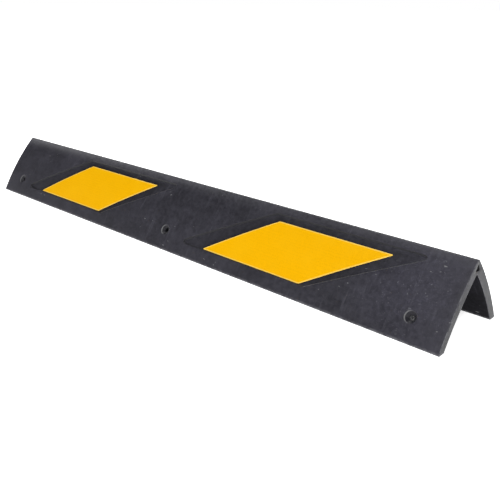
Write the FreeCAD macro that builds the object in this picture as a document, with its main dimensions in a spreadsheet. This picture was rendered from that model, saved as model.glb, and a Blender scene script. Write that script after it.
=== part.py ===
import FreeCAD, Part

import os
import re

import Sketcher

# A moulded rubber angle that guards a corner or an edge, standing on its two foot edges like a roof.
# X runs along the ridge, Y across it with the front leg at -Y, and Z up. The origin is on the ground
# at the middle of the footprint. Lengths are in mm and angles in degrees.
#
# Each leg's outer face is one arc about a line parallel to X, which starts at half_angle from upright
# at the ridge and has turned by leg_turn at the foot. Places on a leg are given by their distance down
# that face from the ridge line, where the two faces would meet if the ridge weren't rounded.

DIMENSIONS = (
    ("guard_length", 800, "along the ridge"),
    ("leg_radius", 337, "of a leg's outer face"),
    ("half_angle", 45, "from upright to the outer face, at the ridge"),
    ("leg_turn", 17.2, "how far a leg curls in from ridge to foot"),
    ("ridge_wall", 10.8, "leg thickness at the ridge"),
    ("foot_wall", 9.2, "leg thickness at the foot"),
    ("ridge_round", 3, "outside radius of the ridge"),
    ("inner_round", 3, "radius in the inner corner"),
    ("foot_round", 1.4, "radius of a foot's two corners"),
    ("end_round", 0.7, "radius round the two end faces"),
    ("recess_depth", 1.6, "below the outer face"),
    ("recess_top", 12, "upper edge of a recess, down the leg"),
    ("recess_bottom", 82, "lower edge of a recess, down the leg"),
    ("recess_width", 200.5, "of a recess, along the guard"),
    ("recess_slant", 126, "how far its upper edge lies towards +X of its lower edge"),
    ("recess_corner", 2.5, "corner radius of a recess"),
    ("film_thickness", 0.4, "of a reflective film"),
    ("film_top", 20, "upper edge of a film, down the leg"),
    ("film_bottom", 81.3, "lower edge of a film, down the leg"),
    ("film_width", 152, "of a film, along the guard"),
    ("film_slant", 93, "how far its upper edge lies towards +X of its lower edge"),
    ("film_corner", 0.8, "corner radius of a film"),
    ("film_pitch", 371, "from one film to the next along the guard"),
    ("film_shift", 10, "of the pair of films and recesses from mid-length"),
    ("screw_hole", 5.5, "diameter of a fixing hole"),
    ("countersink", 13, "diameter of its countersink"),
    ("countersink_depth", 3, "of its cone"),
    ("screw_pitch", 361, "from one fixing hole to the next"),
    ("screw_place", 74.3, "centre of a fixing hole, down the leg"),
    ("socket_radius", 5, "from the centre of an end socket to its corners"),
    ("socket_depth", 2, "of an end socket, along the guard"),
    ("socket_place", 9, "centre of an end socket, below the top of the ridge"),
)
ALIASES = re.compile(r"\b(" + "|".join(name for name, *_ in DIMENSIONS) + r")\b")

# Formulas that several bindings share.
FOOT_ANGLE = "(half_angle - leg_turn)"
ARC_Y = "(leg_radius * cos(half_angle))"
ARC_Z = f"(-leg_radius * sin({FOOT_ANGLE}))"
RIDGE_TOP = f"({ARC_Z} + sqrt((leg_radius - ridge_round)^2 - {ARC_Y}^2) + ridge_round)"
# The inner face is an arc too, its centre moved towards the foot so that the leg thins that way.
INNER_RADIUS = "(leg_radius - (ridge_wall + foot_wall) / 2)"
INNER_SHIFT = "((ridge_wall - foot_wall) / 2 / sin(leg_turn / 2))"
MID_ANGLE = "(half_angle - leg_turn / 2)"

# Where things lie along the guard.
ENDS = {
    "left": "-guard_length / 2",
    "right": "guard_length / 2",
}
SIDES = {
    "left": "film_shift - film_pitch / 2",
    "right": "film_shift + film_pitch / 2",
}
SCREWS = {
    "left": "-screw_pitch",
    "middle": "0",
    "right": "screw_pitch",
}

CUT_REACH = 25  # how far a cutter reaches past the faces it cuts


def make_sheet(doc):
    sheet = doc.addObject("Spreadsheet::Sheet", "dimensions")
    for row, (name, value, meaning) in enumerate(DIMENSIONS, 1):
        sheet.set(f"A{row}", name)
        sheet.set(f"B{row}", str(value))
        sheet.setAlias(f"B{row}", name)
        sheet.set(f"C{row}", meaning)
    doc.recompute()
    return sheet


def bind(thing, prop, formula):
    """Bind a property to a formula written with the sheet's own names."""
    thing.setExpression(prop, ALIASES.sub(r"dimensions.\1", formula))


def add(doc, kind, name, links=None, **formulas):
    """Add an object with links to other objects, and with properties bound to formulas."""
    thing = doc.addObject(kind, name)
    for prop, value in (links or {}).items():
        setattr(thing, prop, value)
    for prop, formula in formulas.items():
        bind(thing, prop, formula)
    return thing


def seat_on_leg(thing, along, down):
    """Place an object on the front leg's outer face: its X along the guard, its Y up the leg, its Z out."""
    angle = f"(half_angle - ({down}) / leg_radius * 180 / pi)"
    thing.Placement.Rotation = FreeCAD.Rotation(FreeCAD.Vector(1, 0, 0), 45)
    bind(thing, "Placement.Rotation.Angle", f"90 - {angle}")
    bind(thing, "Placement.Base.x", along)
    bind(thing, "Placement.Base.y", f"{ARC_Y} - leg_radius * cos({angle})")
    bind(thing, "Placement.Base.z", f"{ARC_Z} + leg_radius * sin({angle})")


def origin_plane(body, role):
    return next(o for o in body.Origin.OriginFeatures if o.Role == role)


def front_half_section(body):
    """The front leg's section, from the plane through the ridge to the foot."""
    sketch = body.newObject("Sketcher::SketchObject", "half_section")
    sketch.AttachmentSupport = [(origin_plane(body, "YZ_Plane"), "")]
    sketch.MapMode = "FlatFace"

    # First guesses, close enough for the constraints to close the outline on the right side.
    vector = FreeCAD.Vector
    upright = vector(0, 0, 1)

    def arc(y, z, radius, start, end):
        circle = Part.Circle(vector(y, z, 0), upright, radius)
        return sketch.addGeometry(Part.ArcOfCircle(circle, start, end))

    def line(y1, z1, y2, z2):
        return sketch.addGeometry(Part.LineSegment(vector(y1, z1, 0), vector(y2, z2, 0)))

    ridge = arc(0, 77, 3, 1.571, 2.35)
    outer = arc(238, -157, 337, 2.36, 2.645)
    outer_corner = arc(-57, 1.4, 1.4, 2.65, 4.712)
    foot = line(-57, 0, -51, 0)
    inner_corner = arc(-51, 1.4, 1.4, 4.712, 5.8)
    inner = arc(235, -162, 327, 2.38, 2.63)
    inner_ridge = arc(0, 61, 3, 1.571, 2.38)
    middle = line(0, 64, 0, 80)

    def constrain(*terms, name=None, formula=None):
        index = sketch.addConstraint(Sketcher.Constraint(*terms))
        if name:
            sketch.renameConstraint(index, name)
            bind(sketch, f"Constraints.{name}", formula)

    start, end, centre = 1, 2, 3
    root, y_axis = -1, -2
    for first, first_end, second, second_end in (
        (ridge, end, outer, start),
        (outer, end, outer_corner, start),
        (outer_corner, end, foot, start),
        (foot, end, inner_corner, start),
        (inner_corner, end, inner, end),
        (inner, start, inner_ridge, end),
    ):
        constrain("Tangent", first, first_end, second, second_end)
    constrain("Coincident", inner_ridge, start, middle, start)
    constrain("Coincident", middle, end, ridge, start)
    constrain("PointOnObject", ridge, centre, y_axis)
    constrain("PointOnObject", ridge, start, y_axis)
    constrain("PointOnObject", inner_ridge, centre, y_axis)
    constrain("PointOnObject", inner_ridge, start, y_axis)
    constrain("PointOnObject", foot, start, root)
    constrain("PointOnObject", foot, end, root)

    for shape, guess, name, formula in (
        (ridge, 3, "ridge_radius", "ridge_round"),
        (outer, 337, "outer_radius", "leg_radius"),
        (outer_corner, 1.4, "outer_corner_radius", "foot_round"),
        (inner_corner, 1.4, "inner_corner_radius", "foot_round"),
        (inner, 327, "inner_face_radius", INNER_RADIUS),
        (inner_ridge, 3, "inner_ridge_radius", "inner_round"),
    ):
        constrain("Radius", shape, guess, name=name, formula=formula)
    for shape, side, guess, name, formula in (
        (outer, "X", 238, "outer_centre_y", ARC_Y),
        (outer, "Y", -157, "outer_centre_z", ARC_Z),
        (inner, "X", 235, "inner_centre_y", f"{ARC_Y} - {INNER_SHIFT} * sin({MID_ANGLE})"),
        (inner, "Y", -162, "inner_centre_z", f"{ARC_Z} - {INNER_SHIFT} * cos({MID_ANGLE})"),
    ):
        constrain(f"Distance{side}", root, 1, shape, centre, guess, name=name, formula=formula)
    return sketch


def rounded_angle(doc):
    """The plain angle, its ends rounded: half of it is padded, and then mirrored about the ridge."""
    body = doc.addObject("PartDesign::Body", "plain_angle")
    sketch = front_half_section(body)
    leg = body.newObject("PartDesign::Pad", "front_leg")
    leg.Profile = sketch
    leg.Midplane = True
    bind(leg, "Length", "guard_length")
    doc.recompute()

    both = body.newObject("PartDesign::Mirrored", "both_legs")
    both.Originals = [leg]
    both.MirrorPlane = (origin_plane(body, "XZ_Plane"), [""])
    body.Tip = both
    doc.recompute()

    ends = body.newObject("PartDesign::Fillet", "rounded_ends")
    edges = enumerate(both.Shape.Edges, 1)
    ends.Base = (both, [f"Edge{i}" for i, edge in edges if edge.BoundBox.XLength < 1e-6])
    bind(ends, "Radius", "end_round")
    body.Tip = ends
    return body


def slanted_block(doc, name, kind, along):
    """A parallelogram block through the leg's face, in the place and outline of a recess or a film."""
    low_x = f"-({kind}_width + {kind}_slant) / 2"
    half_height = f"({kind}_bottom - {kind}_top) / 2"
    block = add(
        doc, "Part::Wedge", f"{name}_block",
        Xmin=low_x,
        Xmax=f"{low_x} + {kind}_width",
        X2min=f"{low_x} + {kind}_slant",
        X2max=f"{low_x} + {kind}_slant + {kind}_width",
        Ymin=f"-{half_height}",
        Ymax=half_height,
    )
    for low, high in (("Zmin", "Zmax"), ("Z2min", "Z2max")):
        setattr(block, low, -CUT_REACH)
        setattr(block, high, CUT_REACH)
    doc.recompute()

    rounded = add(doc, "Part::Fillet", f"{name}_outline", {"Base": block})
    corner = float(doc.getObject("dimensions").get(f"{kind}_corner"))
    edges = enumerate(block.Shape.Edges, 1)
    rounded.Edges = [(i, corner, corner) for i, edge in edges if edge.BoundBox.ZLength > CUT_REACH]
    seat_on_leg(rounded, along, f"({kind}_top + {kind}_bottom) / 2")
    return rounded


def leg_cylinder(doc, name, radius):
    """A cylinder about the line that the front leg's outer face curves round."""
    cylinder = add(doc, "Part::Cylinder", name, Radius=radius, Height="guard_length")
    cylinder.Placement.Rotation = FreeCAD.Rotation(FreeCAD.Vector(0, 1, 0), 90)
    bind(cylinder, "Placement.Base.x", "-guard_length / 2")
    bind(cylinder, "Placement.Base.y", ARC_Y)
    bind(cylinder, "Placement.Base.z", ARC_Z)
    return cylinder


def screw_cutter(doc, name, along):
    """The space of one countersunk screw hole."""
    drill = add(doc, "Part::Cylinder", f"{name}_drill", Radius="screw_hole / 2")
    drill.Height = 2 * CUT_REACH
    drill.Placement.Base.z = -CUT_REACH
    # The cone runs on as far above the face as below it.
    cone = add(
        doc, "Part::Cone", f"{name}_cone",
        Radius1="screw_hole / 2",
        Radius2="countersink - screw_hole / 2",
        Height="2 * countersink_depth",
    )
    bind(cone, "Placement.Base.z", "-countersink_depth")
    cutter = add(doc, "Part::Fuse", name, {"Base": drill, "Tool": cone})
    seat_on_leg(cutter, along, "screw_place")
    return cutter


def socket_cutter(doc, name, end):
    """The space of the shallow three-cornered socket in one end, one corner up under the ridge."""
    socket = add(doc, "Part::Prism", name, Circumradius="socket_radius", Height="2 * socket_depth")
    socket.Polygon = 3
    socket.Placement.Rotation = FreeCAD.Rotation(FreeCAD.Vector(1, 0, 1), 180)
    bind(socket, "Placement.Base.x", f"{end} - socket_depth")
    bind(socket, "Placement.Base.z", f"{RIDGE_TOP} - socket_place")
    return socket


def mirrored(doc, name, source):
    """The same on the back leg."""
    sides = {"Source": source, "Normal": FreeCAD.Vector(0, 1, 0)}
    return add(doc, "Part::Mirroring", name, sides)


def make_guard(doc, recess_floor):
    cutters = []
    for side, along in SIDES.items():
        block = slanted_block(doc, f"{side}_recess", "recess", along)
        links = {"Base": block, "Tool": recess_floor}
        cutters.append(add(doc, "Part::Cut", f"{side}_recess_space", links))
    for place, along in SCREWS.items():
        cutters.append(screw_cutter(doc, f"{place}_screw_space", along))
    front = add(doc, "Part::Compound", "front_spaces", {"Links": cutters})
    back = mirrored(doc, "back_spaces", front)
    sockets = [socket_cutter(doc, f"{end}_socket_space", place) for end, place in ENDS.items()]
    every = add(doc, "Part::Compound", "every_space", {"Links": [front, back, *sockets]})
    return add(doc, "Part::Cut", "rubber_guard", {"Base": rounded_angle(doc), "Tool": every})


def make_films(doc, recess_floor):
    """Thin sheets on the recess floors."""
    top = leg_cylinder(doc, "film_top_face", "leg_radius - recess_depth + film_thickness")
    films = []
    for side, along in SIDES.items():
        block = slanted_block(doc, f"{side}_film", "film", along)
        under = add(doc, "Part::Common", f"{side}_film_under_top", {"Base": block, "Tool": top})
        links = {"Base": under, "Tool": recess_floor}
        front = add(doc, "Part::Cut", f"front_{side}_film", links)
        films += [front, mirrored(doc, f"back_{side}_film", front)]
    return films


def check(doc, parts):
    doc.recompute()
    for thing in doc.Objects:
        if {"Invalid", "Error"} & set(thing.State):
            raise RuntimeError(f"{thing.Label} failed: {thing.State}")
    for part in parts:
        if part.Shape.isNull() or not part.Shape.isValid() or len(part.Shape.Solids) != 1:
            raise RuntimeError(f"{part.Label} isn't one valid solid")


def main():
    doc = FreeCAD.newDocument("rubber_guard")
    make_sheet(doc)
    recess_floor = leg_cylinder(doc, "recess_floor", "leg_radius - recess_depth")
    parts = [make_guard(doc, recess_floor), *make_films(doc, recess_floor)]
    check(doc, parts)
    os.makedirs("parts", exist_ok=True)
    for part in parts:
        part.Shape.exportStep(f"parts/{part.Label}.step")
        box = part.Shape.optimalBoundingBox(False)
        print(f"{part.Label}: {box.XLength:.1f} x {box.YLength:.1f} x {box.ZLength:.1f} mm,"
              f" from z {box.ZMin:.2f}, {part.Shape.Volume / 1000:.2f} cm3")


main()
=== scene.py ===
from math import acos, asin, atan2, ceil, cos, pi, radians, sin, sqrt

import bmesh
import bpy
from mathutils import Matrix, Vector
from mathutils.geometry import delaunay_2d_cdt


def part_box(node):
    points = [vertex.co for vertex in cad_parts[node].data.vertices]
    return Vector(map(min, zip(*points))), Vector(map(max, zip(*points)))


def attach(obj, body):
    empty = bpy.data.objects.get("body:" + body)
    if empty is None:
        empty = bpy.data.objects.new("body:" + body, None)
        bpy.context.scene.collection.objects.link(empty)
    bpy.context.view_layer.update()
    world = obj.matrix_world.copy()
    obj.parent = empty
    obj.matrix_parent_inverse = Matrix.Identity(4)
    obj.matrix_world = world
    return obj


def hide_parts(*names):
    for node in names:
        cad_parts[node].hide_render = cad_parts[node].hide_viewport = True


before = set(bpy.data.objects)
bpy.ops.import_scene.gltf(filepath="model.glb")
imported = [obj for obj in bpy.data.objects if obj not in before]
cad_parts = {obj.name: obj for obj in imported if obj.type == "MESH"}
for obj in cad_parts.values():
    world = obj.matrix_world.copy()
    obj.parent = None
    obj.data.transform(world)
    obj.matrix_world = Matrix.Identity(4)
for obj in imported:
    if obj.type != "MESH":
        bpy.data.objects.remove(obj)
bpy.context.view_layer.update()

# A moulded rubber angle with reflective films in slanted recesses, in metres. The CAD solids are exact
# but plain, so each is replaced by a finer mesh of the same shape, with soft moulded edges.
MM = 0.001

# ---- Dimensions, as in the CAD ----
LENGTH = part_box("rubber_guard")[1][0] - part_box("rubber_guard")[0][0]
LEG_RADIUS = 337 * MM          # of a leg's outer face
HALF_ANGLE = radians(45)       # from upright to the outer face, at the ridge
LEG_TURN = radians(17.2)       # how far a leg curls in from ridge to foot
RIDGE_WALL = 10.8 * MM
FOOT_WALL = 9.2 * MM
RIDGE_ROUND = 3 * MM
INNER_ROUND = 3 * MM
FOOT_ROUND = 1.4 * MM
END_ROUND = 0.7 * MM
RECESS_DEPTH = 1.6 * MM
RECESS_WIDTH, RECESS_SLANT = 200.5 * MM, 126 * MM
RECESS_TOP, RECESS_BOTTOM = 12 * MM, 82 * MM     # its upper and lower edges, down the leg
RECESS_CORNER = 2.5 * MM
FILM_THICKNESS = 0.4 * MM
FILM_WIDTH, FILM_SLANT = 152 * MM, 93 * MM
FILM_TOP, FILM_BOTTOM = 20 * MM, 81.3 * MM
FILM_CORNER = 0.8 * MM
FILM_PITCH = 371 * MM
FILM_SHIFT = 10 * MM
SCREW_PITCH = 361 * MM
SCREW_PLACE = 74.3 * MM        # centre of a screw hole, down the leg
SCREW_RADIUS = 2.75 * MM
SINK_RADIUS = 6.5 * MM
SINK_DEPTH = 3 * MM
SOCKET_RADIUS = 5 * MM
SOCKET_DEPTH = 2 * MM
SOCKET_PLACE = 9 * MM          # below the top of the ridge

# ---- Fineness of the meshes ----
GRID_STEP = 5 * MM
OUTLINE_STEP = 3 * MM
CORNER_STEPS = 5
CIRCLE_STEPS = 32


# ---- The section ----
# A leg's outline is a row of arcs, followed from the top of the ridge down the outer face, round the
# foot and up the inner face to the inner corner. phi is the angle of the outward normal, from upright
# towards the front. side is 1 where the arc's centre lies inside the rubber and -1 where it lies outside.
class Arc:
    def __init__(self, y, z, radius, start, end, side=1):
        self.y, self.z, self.radius, self.side = y, z, radius, side
        self.start, self.end = start, end
        self.length = radius * abs(end - start)

    def at(self, distance):
        phi = self.start + (self.end - self.start) * distance / self.length
        ny, nz = -sin(phi), cos(phi)
        reach = self.side * self.radius
        return self.y + reach * ny, self.z + reach * nz, ny, nz


class Flat:
    """The flat of a foot."""

    def __init__(self, y1, y2):
        self.y1, self.length = y1, y2 - y1

    def at(self, distance):
        return self.y1 + distance, 0.0, 0.0, -1.0


def leg_outline():
    foot_angle = HALF_ANGLE - LEG_TURN
    y, z = LEG_RADIUS * cos(HALF_ANGLE), -LEG_RADIUS * sin(foot_angle)
    inner_radius = LEG_RADIUS - (RIDGE_WALL + FOOT_WALL) / 2
    shift = (RIDGE_WALL - FOOT_WALL) / 2 / sin(LEG_TURN / 2)
    middle_angle = HALF_ANGLE - LEG_TURN / 2
    inner_y, inner_z = y - shift * sin(middle_angle), z - shift * cos(middle_angle)

    ridge_phi = pi / 2 - acos(y / (LEG_RADIUS - RIDGE_ROUND))
    ridge_z = z + sqrt((LEG_RADIUS - RIDGE_ROUND) ** 2 - y ** 2)
    foot_lift = FOOT_ROUND - z
    foot_phi = pi / 2 - asin(foot_lift / (LEG_RADIUS - FOOT_ROUND))
    outer_corner = y - sqrt((LEG_RADIUS - FOOT_ROUND) ** 2 - foot_lift ** 2)
    inner_lift = FOOT_ROUND - inner_z
    inner_foot_phi = 3 * pi / 2 - asin(inner_lift / (inner_radius + FOOT_ROUND))
    inner_corner = inner_y - sqrt((inner_radius + FOOT_ROUND) ** 2 - inner_lift ** 2)
    inner_ridge_phi = 3 * pi / 2 - acos(inner_y / (inner_radius - INNER_ROUND))
    inner_ridge_z = inner_z + sqrt((inner_radius - INNER_ROUND) ** 2 - inner_y ** 2)
    return [
        Arc(0, ridge_z, RIDGE_ROUND, 0, ridge_phi),
        Arc(y, z, LEG_RADIUS, ridge_phi, foot_phi),
        Arc(outer_corner, FOOT_ROUND, FOOT_ROUND, foot_phi, pi),
        Flat(outer_corner, inner_corner),
        Arc(inner_corner, FOOT_ROUND, FOOT_ROUND, pi, inner_foot_phi),
        Arc(inner_y, inner_z, inner_radius, inner_foot_phi, inner_ridge_phi, -1),
        Arc(0, inner_ridge_z, INNER_ROUND, inner_ridge_phi, pi, -1),
    ]


OUTLINE = leg_outline()
RIDGE, INNER = OUTLINE[0], OUTLINE[5]
HALF_GIRTH = sum(piece.length for piece in OUTLINE)
BEFORE_INNER = sum(piece.length for piece in OUTLINE[:5])


def section(girth):
    """(y, z, normal y, normal z) at a distance round the section from the ridge, negative at the back."""
    # Just short of the last arc's end, so that rounding can't carry it past the last piece.
    left = min(abs(girth), HALF_GIRTH - 1e-9)
    for piece in OUTLINE:
        if left <= piece.length:
            break
        left -= piece.length
    y, z, ny, nz = piece.at(min(left, piece.length))
    return (y, z, ny, nz) if girth >= 0 else (-y, z, -ny, nz)


def girth_at(down):
    """The distance round the section of a place on the outer face, given down the leg from the ridge line."""
    return RIDGE.length + down - LEG_RADIUS * (RIDGE.end - (pi / 2 - HALF_ANGLE))


def place(x, girth, height):
    """A point of the surface, raised by height along its normal."""
    y, z, ny, nz = section(girth)
    return Vector((x, y + height * ny, z + height * nz))


def section_rows():
    """The distances round the section where a row of mesh points lies."""
    rows, done = [], 0.0
    for piece in OUTLINE:
        turn = abs(piece.end - piece.start) if isinstance(piece, Arc) else 0
        steps = max(ceil(piece.length / GRID_STEP), ceil(turn / radians(15)))
        rows += [done + piece.length * i / steps for i in range(steps)]
        done += piece.length
    return [-HALF_GIRTH] + [-row for row in reversed(rows[1:])] + rows + [HALF_GIRTH]


# ---- Outlines of recesses and films, in x and the distance down the leg ----
class Slant:
    """A parallelogram with rounded corners, its upper edge set towards +X of its lower edge."""

    def __init__(self, centre, width, slant, top, bottom, corner):
        self.corner = corner
        low = centre - (width + slant) / 2
        self.corners = [
            Vector((low, bottom)),
            Vector((low + width, bottom)),
            Vector((low + slant + width, top)),
            Vector((low + slant, top)),
        ]

    def edges(self):
        """(a point on the edge, its outward normal) for each edge."""
        for a, b in zip(self.corners, self.corners[1:] + self.corners[:1]):
            along = (b - a).normalized()
            yield a, Vector((-along.y, along.x))

    def outside(self, point):
        """How far a point lies outside the outline, negative inside."""
        return max((point - a).dot(normal) for a, normal in self.edges())

    def facing(self, point):
        """The outward normal of the edge that a point lies beyond."""
        return max(self.edges(), key=lambda edge: (point - edge[0]).dot(edge[1]))[1]

    def loop(self, offset):
        """The outline moved out by offset, as points in order."""
        edges = list(self.edges())
        points = []
        for i, corner in enumerate(self.corners):
            before, after = edges[i - 1][1], edges[i][1]
            radius = max(self.corner + offset, 0.1 * MM)
            # The corner's centre lies inside both moved edges by the corner's radius.
            centre = corner + (before + after) * (offset - radius) / (1 + before.dot(after))
            start, turn = atan2(before.y, before.x), before.angle_signed(after)
            for k in range(CORNER_STEPS + 1):
                angle = start - turn * k / CORNER_STEPS
                points.append(centre + radius * Vector((cos(angle), sin(angle))))
        return divided(points)


def divided(points):
    """The closed outline with its long edges divided."""
    out = []
    for a, b in zip(points, points[1:] + points[:1]):
        steps = max(1, round((b - a).length / OUTLINE_STEP))
        out += [a.lerp(b, k / steps) for k in range(steps)]
    return out


def circle(centre, radius):
    angles = (2 * pi * k / CIRCLE_STEPS for k in range(CIRCLE_STEPS))
    return [centre + radius * Vector((cos(a), sin(a))) for a in angles]


def smooth(t):
    t = min(max(t, 0), 1)
    return t * t * (3 - 2 * t)


# ---- Flat patches that are triangulated and then put in place ----
class Patch:
    """Points of a plane with heights and marks, joined into triangles along given loops."""

    def __init__(self):
        self.points, self.heights, self.marks, self.edges = [], [], [], []

    def add(self, point, height=0.0, mark=0.0):
        self.points.append(Vector(point))
        self.heights.append(height)
        self.marks.append(mark)
        return len(self.points) - 1

    def add_loop(self, points, height=0.0, mark=0.0):
        for point in points:
            self.add(point, height, mark)
        return self.close_loop(len(points))

    def close_loop(self, count):
        """Join the last count points into a loop."""
        first = len(self.points) - count
        self.edges += [(first + k, first + (k + 1) % count) for k in range(count)]
        return range(first, first + count)

    def triangles(self, kind=0):
        """Triangles of indices of the points that were given, of the whole hull or inside the first loop."""
        coords, _, faces, originals, _, _ = delaunay_2d_cdt(self.points, self.edges, [], kind, 1e-9)
        if any(not o for o in originals):
            raise RuntimeError("the loops of a patch cross")
        found = [min(o) for o in originals]
        return [tuple(found[i] for i in face) for face in faces]


def recess_outlines():
    """{(leg, side): its outline}, with leg 1 at the front and -1 at the back."""
    return {
        (leg, side): Slant(
            FILM_SHIFT + side * FILM_PITCH / 2,
            RECESS_WIDTH, RECESS_SLANT, RECESS_TOP, RECESS_BOTTOM, RECESS_CORNER,
        )
        for leg in (1, -1) for side in (-1, 1)
    }


def film_outline(side):
    return Slant(
        FILM_SHIFT + side * FILM_PITCH / 2,
        FILM_WIDTH, FILM_SLANT, FILM_TOP, FILM_BOTTOM, FILM_CORNER,
    )


WALL_STEPS = 8
WALL_OUT, WALL_IN = 1.2 * MM, -0.8 * MM   # how far a recess's soft wall reaches out and in

# Marks on the rubber: above 0 for painted shade, and where the recess floors are painted darker; below 0 for
# a painted highlight.
PAINTED_WALL_SHADE, PAINTED_RIM_HIGHLIGHT, FLOOR_DARKENING, PAINTED_HOLE_SHADE = 0.9, -0.7, 0.35, 0.8
FILM_SHADE_PAINT, FILM_SHADE_PAINT_REACH = 0.5, 8 * MM   # painted shade on a recess floor, deeper towards its film


def to_surface(point, leg):
    """A place down the leg as a place round the section."""
    return Vector((point.x, leg * girth_at(point.y)))


def add_recess(patch, leg, outline):
    """The soft wall round a recess, with a painted highlight along its lower slanted edge and painted shade
    along the others.
    """
    for k in range(WALL_STEPS + 1):
        t = k / WALL_STEPS
        loop = outline.loop(WALL_OUT + (WALL_IN - WALL_OUT) * t)
        for point in loop:
            facing = outline.facing(point)
            # The lower slanted edge faces up the leg, towards the light, and takes a painted highlight; the
            # other walls take painted shade.
            if facing.x > 0.1 and facing.y > 0.1:
                mark = PAINTED_RIM_HIGHLIGHT * sin(pi * min(1, 2.2 * t))
            else:
                mark = PAINTED_WALL_SHADE * sin(pi * t)
            patch.add(to_surface(point, leg), -RECESS_DEPTH * smooth(t), mark + FLOOR_DARKENING * smooth(t))
        patch.close_loop(len(loop))


# (radius, height) of the loops of a countersink, from its rim to its throat, and of a hole's inner mouth
SINK_LOOPS = (
    (SINK_RADIUS + 0.9 * MM, 0.0),
    (SINK_RADIUS + 0.35 * MM, -0.06 * MM),
    (SINK_RADIUS, -0.25 * MM),
    (SINK_RADIUS - 0.35 * MM, -0.6 * MM),
    (SINK_RADIUS - 0.65 * MM, -0.83 * MM),
    (SCREW_RADIUS + 0.35 * MM, -SINK_DEPTH + 0.1 * MM),
    (SCREW_RADIUS + 0.1 * MM, -SINK_DEPTH - 0.15 * MM),
    (SCREW_RADIUS, -SINK_DEPTH - 0.5 * MM),
)
EXIT_LOOPS = (
    (SCREW_RADIUS + 0.5 * MM, 0.0),
    (SCREW_RADIUS + 0.15 * MM, -0.1 * MM),
    (SCREW_RADIUS, -0.5 * MM),
)


def exit_girth():
    """Where a screw hole's axis meets the inner face."""
    y, z, ny, nz = section(girth_at(SCREW_PLACE))
    dy, dz = y - INNER.y, z - INNER.z
    # The axis runs inwards from the outer face, along the normal, to the inner face's circle.
    along = dy * ny + dz * nz
    wall = along - sqrt(along ** 2 - (dy ** 2 + dz ** 2 - INNER.radius ** 2))
    phi = 3 * pi / 2 - atan2(dz - wall * nz, -(dy - wall * ny))
    return BEFORE_INNER + INNER.radius * (INNER.start - phi)


def add_screw_hole(patch, leg, x):
    """The loops of a screw hole on both faces. Returns the points round its throat and its inner mouth."""
    outer = Vector((x, leg * girth_at(SCREW_PLACE)))
    inner = Vector((x, leg * exit_girth()))
    # A countersink takes painted shade inside and a painted highlight on the left of its rim.
    for radius, height in SINK_LOOPS:
        for point in circle(outer, radius):
            if not height:
                mark = 0.0
            elif radius > SINK_RADIUS - 0.4 * MM:   # the rim, with a painted highlight on its left
                mark = -max(0, (outer.x - point.x) / radius)
            else:
                mark = PAINTED_HOLE_SHADE
            patch.add(point, height, mark)
        throat = patch.close_loop(CIRCLE_STEPS)
    for radius, height in EXIT_LOOPS:
        mouth = patch.add_loop(circle(inner, radius), height)
    # Going round the foot turns the section's direction over, so the mouth's points run the other way.
    steps = len(mouth)
    return list(throat), [mouth[-k % steps] for k in range(steps)]


def guard_surface():
    """The guard between its end roundings.

    Returns its points and marks, its outer and inner faces, its points at either end, and its rows.
    """
    patch = Patch()
    rows = section_rows()
    reach = LENGTH / 2 - END_ROUND
    stations = ceil(2 * reach / GRID_STEP)
    columns = [-reach + 2 * reach * i / stations for i in range(stations + 1)]
    recesses = recess_outlines()
    films = {side: film_outline(side) for side in (-1, 1)}
    screws = [(leg, x) for leg in (1, -1) for x in (-SCREW_PITCH, 0, SCREW_PITCH)]
    holes = []
    for leg, x in screws:
        holes.append((Vector((x, leg * girth_at(SCREW_PLACE))), SINK_LOOPS[0][0]))
        holes.append((Vector((x, leg * exit_girth())), EXIT_LOOPS[0][0]))
    clear = 1.2 * MM    # kept free of grid points, beside every loop
    ends = ([], [])
    for row in rows:
        down = abs(row) - girth_at(0)
        leg = 1 if row > 0 else -1
        for i, x in enumerate(columns):
            point = Vector((x, row))
            if any((point - centre).length < radius + clear for centre, radius in holes):
                continue
            height, mark = 0.0, 0.0
            if abs(row) < BEFORE_INNER:
                outside = min(recesses[leg, side].outside(Vector((x, down))) for side in (-1, 1))
                if WALL_IN - clear < outside < WALL_OUT + clear:
                    continue
                # Recess floors are painted darker.
                if outside < 0:
                    height = -RECESS_DEPTH
                    # Painted shade deepens on the floor towards the film's edge.
                    from_film = min(films[side].outside(Vector((x, down))) for side in (-1, 1))
                    mark = FLOOR_DARKENING + FILM_SHADE_PAINT * smooth(1 - from_film / FILM_SHADE_PAINT_REACH)
            index = patch.add(point, height, mark)
            if i in (0, stations):
                ends[bool(i)].append(index)
    for (leg, side), outline in recesses.items():
        add_recess(patch, leg, outline)
    throats = [add_screw_hole(patch, leg, x) for leg, x in screws]

    def in_hole(face):
        middle = sum((patch.points[i] for i in face), Vector((0, 0))) / 3
        return any((middle - centre).length < SCREW_RADIUS for centre, _ in holes)

    def is_inner(face):
        return all(abs(patch.points[i].y) > BEFORE_INNER - 0.1 * MM for i in face)

    skin = [face for face in patch.triangles() if not in_hole(face)]
    inner = [face for face in skin if is_inner(face)]
    faces = [face for face in skin if not is_inner(face)]
    for throat, mouth in throats:
        for k in range(len(throat)):
            n = (k + 1) % len(throat)
            faces.append((throat[n], throat[k], mouth[k], mouth[n]))
    points = [place(p.x, p.y, h) for p, h in zip(patch.points, patch.heights)]
    return points, patch.marks, faces, inner, ends, rows


CAP_RIM = 0.3 * MM
SOCKET_WALL = 0.9 * MM      # width of the soft wall round an end socket
SOCKET_CORNER = 0.9 * MM


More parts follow.
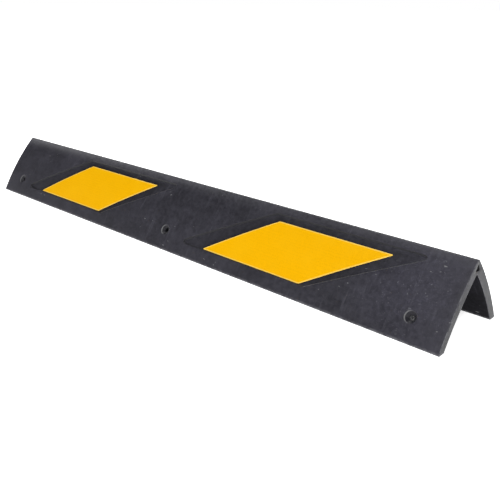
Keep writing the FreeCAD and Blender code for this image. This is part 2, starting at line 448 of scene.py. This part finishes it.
def add_end(points, marks, faces, cap_faces, edge, rows, side):
    """The rounding and the flat face of one end, side -1 or 1, with its socket."""
    ring = list(edge)
    for angle in (22.5, 45, 67.5, 90, None):
        new = []
        for row in rows:
            if angle is None:   # a narrow rim of the flat face, so that the shading settles before it
                x, inset = LENGTH / 2, END_ROUND + CAP_RIM
            else:
                x = LENGTH / 2 - END_ROUND + END_ROUND * sin(radians(angle))
                inset = END_ROUND * (1 - cos(radians(angle)))
            points.append(place(side * x, row, -inset))
            marks.append(0.0)
            new.append(len(points) - 1)
        target = cap_faces if angle is None else faces
        for k in range(len(rows) - 1):
            target.append(turned((ring[k], new[k], new[k + 1], ring[k + 1]), side))
        ring = new

    patch = Patch()
    # The first and last points of the ring are one point of the inner corner.
    loop = patch.add_loop([points[i].yz for i in ring[:-1]])
    top = section(0)[1]
    centre = Vector((0, top - SOCKET_PLACE))
    for k in range(WALL_STEPS + 1):
        t = k / WALL_STEPS
        offset = SOCKET_WALL * (0.5 - t)
        # The socket's wall is painted darker, as painted shade.
        patch.add_loop(socket_loop(centre, offset), -SOCKET_DEPTH * smooth(t), sin(pi * t))
    given = {k: ring[k] for k in loop}
    for k in range(len(loop), len(patch.points)):
        y, z = patch.points[k]
        points.append(Vector((side * (LENGTH / 2 + patch.heights[k]), y, z)))
        marks.append(patch.marks[k])
        given[k] = len(points) - 1
    for face in patch.triangles(1):
        cap_faces.append(turned([given[k] for k in face], side))


def socket_loop(centre, offset):
    """A three-cornered outline, one corner up, moved out by offset."""
    points = []
    for k in range(3):
        middle = pi / 2 + 2 * pi * k / 3
        hub = centre + (SOCKET_RADIUS - 2 * SOCKET_CORNER) * Vector((cos(middle), sin(middle)))
        for step in range(CORNER_STEPS + 1):
            angle = middle + radians(120) * (step / CORNER_STEPS - 0.5)
            points.append(hub + (SOCKET_CORNER + offset) * Vector((cos(angle), sin(angle))))
    return points


def turned(face, side):
    return tuple(face) if side > 0 else tuple(reversed(face))


def new_mesh(name, points, face_groups, materials, marks=None):
    """A smooth mesh piece. Each group of faces takes its own material."""
    mesh = bpy.data.meshes.new(name)
    mesh.from_pydata(points, [], [face for group in face_groups for face in group])
    for material in materials:
        mesh.materials.append(material)
    slots = [slot for slot, group in enumerate(face_groups) for _ in group]
    mesh.polygons.foreach_set("material_index", slots)
    mesh.polygons.foreach_set("use_smooth", [True] * len(slots))
    if marks:
        layer = mesh.attributes.new("painted_light_marks", "FLOAT", "POINT")
        layer.data.foreach_set("value", marks)
    piece = bpy.data.objects.new(name, mesh)
    bpy.context.scene.collection.objects.link(piece)
    return piece


def weld(piece):
    """Join points that lie together, and turn every face outwards."""
    bm = bmesh.new()
    bm.from_mesh(piece.data)
    bmesh.ops.remove_doubles(bm, verts=bm.verts, dist=1e-6)
    loose = [v for v in bm.verts if not v.link_faces]
    bmesh.ops.delete(bm, geom=loose, context="VERTS")
    bmesh.ops.recalc_face_normals(bm, faces=bm.faces)
    bm.to_mesh(piece.data)
    bm.free()


def make_guard(rubber, cut_rubber, shade_painted_inner_rubber):
    points, marks, outer, inner, ends, rows = guard_surface()
    caps = []
    for side, edge in zip((-1, 1), ends):
        add_end(points, marks, outer, caps, edge, rows, side)
    materials = (rubber, cut_rubber, shade_painted_inner_rubber)
    piece = new_mesh("guard_moulding", points, (outer, caps, inner), materials, marks)
    weld(piece)
    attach(piece, "root")
    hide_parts("rubber_guard")


# (offset in mm, height in mm above the recess floor, mark) of the loops round a film's edge; the mark paints
# a highlight along the edge
FILM_LIFT = 0.02 * MM   # of a film's underside from the recess floor
FILM_EDGE = ((0.04, 0.05, 1), (0.0, 0.33, 1), (-0.12, 0.4, 1), (-1.1, 0.4, 0.9), (-1.5, 0.4, 0))


def make_film(leg, side, material):
    outline = film_outline(side)
    patch = Patch()
    loops = []
    for offset, height, mark in FILM_EDGE:
        loop = [to_surface(p, leg) for p in outline.loop(offset * MM)]
        loops.append(patch.add_loop(loop, height * MM - RECESS_DEPTH, mark))
    low, bottom = outline.corners[0]
    high, top = outline.corners[2]
    for i in range(int((high - low) / GRID_STEP)):
        for j in range(int((bottom - top) / GRID_STEP)):
            point = Vector((low + i * GRID_STEP, top + (j + 0.5) * GRID_STEP))
            if outline.outside(point) < -2.5 * MM:
                patch.add(to_surface(point, leg), FILM_THICKNESS - RECESS_DEPTH)
    upper = patch.triangles(1)
    count = len(patch.points)
    points = [place(p.x, p.y, h) for p, h in zip(patch.points, patch.heights)]
    points += [place(p.x, p.y, FILM_LIFT - RECESS_DEPTH) for p in patch.points]
    lower = [tuple(count + i for i in reversed(face)) for face in upper]
    rim = list(loops[0])
    walls = [(a, b, count + b, count + a) for a, b in zip(rim, rim[1:] + rim[:1])]
    name = f"{'front' if leg > 0 else 'back'}_{'left' if side < 0 else 'right'}_film"
    piece = new_mesh(name + "_sheet", points, [upper + lower + walls], [material], patch.marks * 2)
    weld(piece)
    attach(piece, "root")
    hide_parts(name)


# ---- Materials ----
class Nodes:
    """A short way to write a material's nodes."""

    def __init__(self, name):
        self.material = bpy.data.materials.new(name)
        self.material.use_nodes = True
        self.tree = self.material.node_tree
        self.shader = self.tree.nodes["Principled BSDF"]

    def node(self, kind, inputs=None, **settings):
        node = self.tree.nodes.new("ShaderNode" + kind)
        for key, value in settings.items():
            setattr(node, key, value)
        for key, value in (inputs or {}).items():
            self.link(value, node.inputs[key])
        return node

    def link(self, value, socket):
        if isinstance(value, bpy.types.NodeSocket):
            self.tree.links.new(value, socket)
        else:
            socket.default_value = value

    def place(self):
        return self.node("TexCoord").outputs["Object"]

    def noise(self, size, detail=2.0, roughness=0.5, stretch=(1, 1, 1)):
        """Noise from 0 to 1 with features of about that size, in metres."""
        scaled = self.node("Mapping", {"Vector": self.place(), "Scale": stretch})
        settings = {
            "Vector": scaled.outputs[0], "Scale": 1 / size, "Detail": detail, "Roughness": roughness,
        }
        return self.node("TexNoise", settings).outputs["Fac"]

    def math(self, operation, *values):
        return self.node("Math", dict(enumerate(values)), operation=operation).outputs[0]

    def steps(self, value, low, high, start=0.0, end=1.0):
        """value mapped from low..high to start..end, held at the ends."""
        inputs = {"Value": value, "From Min": low, "From Max": high, "To Min": start, "To Max": end}
        return self.node("MapRange", inputs).outputs[0]

    def mix(self, amount, a, b):
        node = self.node("Mix", data_type="RGBA")
        for value, key in ((amount, 0), (a, 6), (b, 7)):
            self.link(value, node.inputs[key])
        return node.outputs[2]

    def set(self, **inputs):
        for key, value in inputs.items():
            self.link(value, self.shader.inputs[key.replace("_", " ")])


def grey(value, blue=1.0):
    return (value, value, value * blue, 1)


def tinted(value, blue):
    """A grey that leans to blue-violet."""
    return (value, value * (1 - 0.15 * (blue - 1)), value * blue, 1)


def rubber_material(name, dark, light, tint, gloss):
    """Matt black rubber between two greys: mottling, a fine moulded grain, pale dust, a painted lighter tone
    at the right end, worn edges with painted highlights, a painted sheen on the ridge, and painted shade and
    highlights from marks on the mesh.
    """
    n = Nodes(name)
    x, y, z = n.node("SeparateXYZ", {0: n.place()}).outputs
    cloud = n.noise(0.045, 3, 0.65)
    fine = n.noise(0.005, 3, 0.7)
    mottle = n.math("ADD", n.math("MULTIPLY", cloud, 0.55), n.math("MULTIPLY", fine, 0.45))
    base = n.mix(n.steps(mottle, 0.36, 0.64), tinted(dark, tint), tinted(light, tint))

    # Dust is thickest in a patch by the right end of the front leg.
    spot = n.node("VectorMath", {0: n.place(), 1: (0.352, -0.030, 0.052)}, operation="DISTANCE")
    patch = n.steps(spot.outputs["Value"], 0.075, 0.02)
    dust = n.noise(0.004, 4, 0.75)
    amount = n.math("MULTIPLY", n.steps(dust, 0.48, 0.75), n.math("MULTIPLY_ADD", patch, 0.45, 0.08))
    base = n.mix(amount, base, tinted(0.08, 1.3))
    # Painted light: the patch is also painted a lighter, bluer grey, as light falling on the right end.
    base = n.mix(n.math("MULTIPLY", patch, 0.16), base, tinted(0.034, 1.7))
    flecks = n.steps(n.noise(0.0034, 3, 0.6), 0.64, 0.74, 0, 0.55)
    flecked = n.math("MULTIPLY", flecks, n.math("MULTIPLY_ADD", patch, 0.9, 0.05))
    base = n.mix(flecked, base, grey(0.16, 1.1))
    # Painted sheen: the ridge is painted paler, most of all at the left, where it is seen most aslant.
    left = n.steps(x, 0.2, -0.4, 0.12, 1.0)
    top = n.steps(z, 0.066, 0.0797)
    painted_ridge_sheen = n.math("MULTIPLY", n.math("POWER", top, 2.4), left)
    painted_ridge_sheen = n.math("MULTIPLY", painted_ridge_sheen, n.steps(fine, 0.3, 0.7, 0.5, 1))
    base = n.mix(painted_ridge_sheen, base, tinted(0.19, 1.05))
    # Streaks run down the legs.
    streak = n.steps(n.noise(0.006, 2, 0.6, (1, 0.12, 0.12)), 0.62, 0.75, 0, 0.28)
    base = n.mix(streak, base, tinted(light * 2.4, 1.2))

    # Scattered specks and short smears.
    rare = n.steps(n.noise(0.03, 1, 0.5), 0.60, 0.68)
    dots = n.steps(n.noise(0.0026, 1, 0.5, (0.55, 1, 1)), 0.70, 0.76)
    base = n.mix(n.math("MULTIPLY", n.math("MULTIPLY", dots, rare), 0.8), base, grey(0.25))

    # Moulded edges are painted paler along the feet and round the end faces, but not on those faces: wear,
    # and painted highlights where the edges catch the light.
    from_end = n.math("SUBTRACT", LENGTH / 2, n.math("ABSOLUTE", x))
    ends = n.math("MULTIPLY", n.steps(from_end, 1.0 * MM, 0.3 * MM), n.steps(from_end, 0.01 * MM, 0.04 * MM))
    feet = n.steps(z, 0.0035, 0.001)
    edges = n.math("MAXIMUM", ends, feet)
    edge_wear_and_highlight = n.math("MULTIPLY", edges, n.steps(n.noise(0.006, 3, 0.7), 0.4, 0.6, 0.1, 0.6))
    base = n.mix(edge_wear_and_highlight, base, grey(0.20, 1.05))
    # Marks set on the mesh: painted shade where they are above 0, with the recess floors painted darker, and
    # painted highlights below 0.
    painted_light_marks = n.node("Attribute", attribute_name="painted_light_marks").outputs["Fac"]
    base = n.mix(n.steps(painted_light_marks, 0, 1, 0, 0.8), base, tinted(dark * 0.25, tint))
    base = n.mix(n.steps(painted_light_marks, 0, -1, 0, 0.8), base, grey(0.16))

    grain = n.noise(0.0008, 3, 0.6)
    ripple = n.noise(0.007, 3, 0.55)
    dents = n.noise(0.025, 2, 0.5)
    height = n.math("ADD", n.math("MULTIPLY", grain, 0.12), n.math("MULTIPLY", ripple, 0.5))
    height = n.math("ADD", height, n.math("MULTIPLY", dents, 1.6))
    bump = n.node("Bump", {"Height": height, "Strength": 0.5, "Distance": 0.0006})
    n.set(
        Base_Color=base,
        Roughness=n.steps(fine, 0.35, 0.65, 0.38, 0.55),
        Specular_IOR_Level=gloss,
        Sheen_Weight=gloss * 0.5,
        Sheen_Roughness=0.3,
        Normal=bump.outputs[0],
    )
    return n.material


def film_material():
    """Yellow reflective film under a clear face, with faint cells and a painted highlight along its edges."""
    n = Nodes("yellow_reflective_film")
    cells = n.node("TexVoronoi", {"Vector": n.place(), "Scale": 420.0, "Randomness": 0.5})
    tone = n.steps(cells.outputs["Distance"], 0.0, 0.6)
    cloud = n.noise(0.02, 4, 0.6)
    base = n.mix(tone, (0.76, 0.38, 0.0008, 1), (0.83, 0.42, 0.001, 1))
    base = n.mix(n.steps(cloud, 0.4, 0.65, 0, 0.5), base, (0.83, 0.435, 0.002, 1))
    # Painted highlight: the film's edge is painted paler.
    edge = n.node("Attribute", attribute_name="painted_light_marks").outputs["Fac"]
    base = n.mix(n.math("MULTIPLY", edge, 0.75), base, (0.88, 0.60, 0.12, 1))
    height = n.math("ADD", n.math("MULTIPLY", tone, 0.3), cloud)
    bump = n.node("Bump", {"Height": height, "Strength": 0.15, "Distance": 0.0003})
    n.set(
        Base_Color=base,
        Roughness=n.steps(cloud, 0.3, 0.7, 0.3, 0.4),
        Normal=bump.outputs[0],
        Specular_IOR_Level=0.08,
    )
    return n.material


def floor_material():
    """A white light table, so that the guard throws hardly any shadow. It doesn't glow under the guard, which
    paints a shadow there, dark inside the guard and through its holes.
    """
    n = Nodes("light_table")
    x, y, _ = n.node("SeparateXYZ", {0: n.place()}).outputs
    beyond_end = n.steps(n.math("ABSOLUTE", n.math("ADD", x, 0.02)), 0.36, 0.40)
    beyond_foot = n.steps(n.math("ABSOLUTE", y), 0.050, 0.056)
    n.set(
        Base_Color=(0.85, 0.85, 0.85, 1),
        Roughness=0.8,
        Specular_IOR_Level=0.0,
        Emission_Color=(1, 1, 1, 1),
        Emission_Strength=n.math("MAXIMUM", beyond_end, beyond_foot),
    )
    return n.material


# ---- Floor, light and camera ----
def make_floor(material):
    size = 40.0
    corners = [(-size, -size, 0), (size, -size, 0), (size, size, 0), (-size, size, 0)]
    floor = new_mesh("floor", corners, [[(0, 1, 2, 3)]], [material])


def add_area_light(name, place_at, aim, size, power, colour=(1, 1, 1)):
    lamp = bpy.data.lights.new(name, "AREA")
    lamp.shape = "DISK"
    lamp.size, lamp.energy, lamp.color = size, power, colour
    light = bpy.data.objects.new(name, lamp)
    light.location = place_at
    light.rotation_euler = (Vector(aim) - Vector(place_at)).to_track_quat("-Z", "Y").to_euler()
    bpy.context.scene.collection.objects.link(light)


def make_lights():
    world = bpy.data.worlds.new("studio")
    world.use_nodes = True
    # White at the horizon, so that the floor has no visible end, and dim above it.
    nodes, links = world.node_tree.nodes, world.node_tree.links
    split = nodes.new("ShaderNodeSeparateXYZ")
    shade = nodes.new("ShaderNodeMapRange")
    for key, value in (("From Min", 0.05), ("From Max", 0.22), ("To Min", 1.0), ("To Max", 0.04)):
        shade.inputs[key].default_value = value
    nodes["Background"].inputs["Color"].default_value = (1, 1, 1, 1)
    links.new(nodes.new("ShaderNodeTexCoord").outputs["Generated"], split.inputs[0])
    links.new(split.outputs["Z"], shade.inputs["Value"])
    links.new(shade.outputs[0], nodes["Background"].inputs["Strength"])
    bpy.context.scene.world = world
    add_area_light("key", (0.4, -1.7, 1.7), (0, 0, 0), 1.0, 25, (0.98, 0.99, 1))
    add_area_light("overhead", (-0.6, 0.2, 2.2), (0, 0, 0), 0.8, 20)
    add_area_light("side", (1.9, -0.9, 0.8), (0.3, 0, 0), 0.9, 10)
    add_area_light("back", (-1.4, 1.7, 1.0), (0, 0, 0.08), 1.2, 30)


def make_camera():
    """Low on the front right, looking down at the guard."""
    camera = bpy.data.cameras.new("camera")
    camera.sensor_width = 36
    camera.lens = 47.817
    view = bpy.data.objects.new("camera", camera)
    turn = Matrix.Rotation(radians(42.787), 4, "Z")
    tilt = Matrix.Rotation(radians(90 - 20.488), 4, "X")
    roll = Matrix.Rotation(radians(1.025), 4, "Z")
    view.matrix_world = Matrix.Translation((0.63602, -0.57078, 0.30210)) @ turn @ tilt @ roll
    bpy.context.scene.collection.objects.link(view)
    bpy.context.scene.camera = view


def main():
    rubber = rubber_material("black_rubber", 0.0185, 0.037, 1.25, 0.25)
    cut_rubber = rubber_material("cut_rubber", 0.008, 0.085, 1.05, 0.15)
    # The inner faces take a darker, glossless copy of the rubber: its darker greys are painted shade.
    shade_painted_inner_rubber = rubber_material("shade_painted_inner_rubber", 0.012, 0.020, 1.1, 0.0)
    make_guard(rubber, cut_rubber, shade_painted_inner_rubber)
    film = film_material()
    for leg in (1, -1):
        for side in (-1, 1):
            make_film(leg, side, film)
    make_floor(floor_material())
    make_lights()
    make_camera()
    bpy.context.scene.view_settings.view_transform = "Standard"


main()
